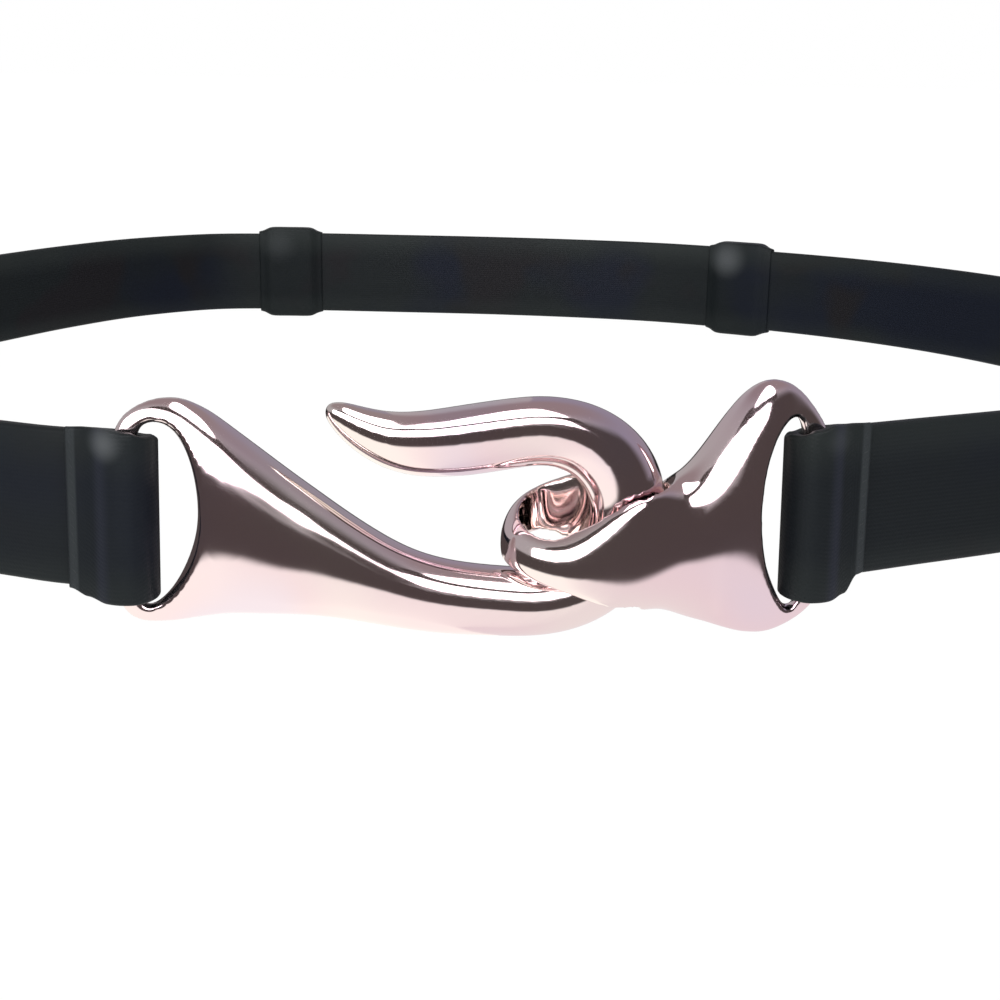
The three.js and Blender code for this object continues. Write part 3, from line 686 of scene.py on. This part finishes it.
# Folds: the strap's end turned round a bar. Rows run along the fold: along, off its middle, thickness.
fold = {"edge": 0.38, "edgeShare": 0.45, "footShift": 0.5, "backDrop": 0.5, "steps": 9,
        "roughness": 0.38, "shine": 0.17, "sheenAt": (4.2, 3.5, 19), "sheenReach": 0.003}
foldRows = ((0, 0, 1.6), (0.35, 1.6, 1.6), (1.2, 2.6, 1.6), (2.5, 3.0, 1.5), (4.2, 2.85, 1.35),
            (6.0, 2.25, 1.15), (7.8, 1.85, 1.0), (9.8, 1.8, 0.9))
folds = {
    "fold_left": {"closedEnd": (-42.6, -118.3), "tail": (-52.4, -116.8), "back": -1,
                  "cloth": "leftFoldElastic", "rollHighlightAt": 5.0, "sheen": 0.95,
                  "heights": ((0, -1.2, 19.6), (1.5, -1.25, 20.3), (4.5, -1.3, 20.7), (7.4, -0.8, 20.6),
                              (9.8, 0.1, 20.5))},
    "fold_right": {"closedEnd": (37.05, -110.3), "tail": (46.35, -106.73), "back": 1,
                   "cloth": "rightFoldElastic", "rollHighlightAt": 5.6, "sheen": 0.2,
                   "heights": ((0, -2.3, 19.3), (1.5, -2.35, 20.2), (4, -2.4, 20.8), (6.8, -1.9, 20.6),
                               (9, 0.4, 20.5), (9.8, 0.6, 20.5))},
}


def between(heights, along):
    for first, second in zip(heights, heights[1:]):
        if along <= second[0]:
            break
    share = (along - first[0]) / (second[0] - first[0])
    share = share * share * (3 - 2 * share)
    return [first[column] + (second[column] - first[column]) * share for column in (1, 2)]


def makeFold(name):
    shape = folds[name]
    start = Vector((*shape["closedEnd"], 0))
    ahead = (Vector((*shape["tail"], 0)) - start).normalized()
    aside = Vector((-ahead.y, ahead.x, 0))
    middle = sum(strap["side"]) / 2
    mirrored = [Vector((along, -side, ply)) for along, side, ply in reversed(foldRows[1:])]
    rows = smoothCurve([*mirrored, *(Vector(row) for row in foldRows)], fold["steps"])
    sections, marks = [], [0.0]
    for index, row in enumerate(rows):
        before, after = rows[max(index - 1, 0)], rows[min(index + 1, len(rows) - 1)]
        run = Vector((after.x - before.x, after.y - before.y)).normalized()
        section = []
        bottom, top = between(shape["heights"], max(row.x, 0))
        top -= fold["backDrop"] * max(shape["back"] * row.y, 0)
        edge = min(fold["edge"], row.z * fold["edgeShare"])
        for across, up in roundedBox(row.z / 2, bottom, top, edge):
            footShift = fold["footShift"] * (up - middle) / strap["side"][1]
            point = start + ahead * (row.x - run.y * across - footShift) + aside * (row.y + run.x * across)
            section.append(point + Vector((0, 0, up)))
        sections.append(section)
        marks.append(marks[-1] + (after - row).length)
    # A painted highlight: a paler spot on the fold's face
    sheenAhead, sheenOut, sheenUp = fold["sheenAt"]
    sheen = start + ahead * sheenAhead - aside * shape["back"] * sheenOut + Vector((0, 0, sheenUp))
    patch = (inFrame(sheen), fold["sheenReach"], shape["sheen"])
    seamed = (marks[-1], shape["rollHighlightAt"])
    material = makeElastic(shape["cloth"], fold["roughness"], fold["shine"], [patch], seamed)
    finish(pieceName(name), loft(sections, marks[:-1]), material, name, "binding")


makeStudio()
makeFloor()
print("studio built")
rosePlating = makePlating()
cast("hookCasting", hookSections(), [slotSections(hookSlot)], rosePlating, "hook")
cast("eyeCasting", eyeSections(), [slotSections(eyeSlot), holeSections()], rosePlating, "eye")
print("buckle cast")
webbing = makeElastic("wovenElastic", roughness=0.44, shine=0.17)
leftMiddle, rightMiddle = nearRoute(sleeve["left"]), nearRoute(sleeve["right"])
sheens = [sleeveSheen(leftMiddle, sleeve["leftSheen"]), sleeveSheen(rightMiddle, sleeve["rightSheen"])]
binding = makeElastic("bindingElastic", roughness=0.4, shine=0.14, highlightSpots=sheens)
makeStrap("strap_left", 0, leftMiddle - strap["joint"], strap["side"], webbing)
makeStrap("strap_back", leftMiddle + strap["joint"], rightMiddle - strap["joint"], strap["back"], webbing)
makeStrap("strap_right", rightMiddle + strap["joint"], routeMarks[-1], strap["side"], webbing)
makeSleeve("sleeve_left", leftMiddle, binding)
makeSleeve("sleeve_right", rightMiddle, binding)
makeFold("fold_left")
makeFold("fold_right")
print("straps, sleeves and folds laid")
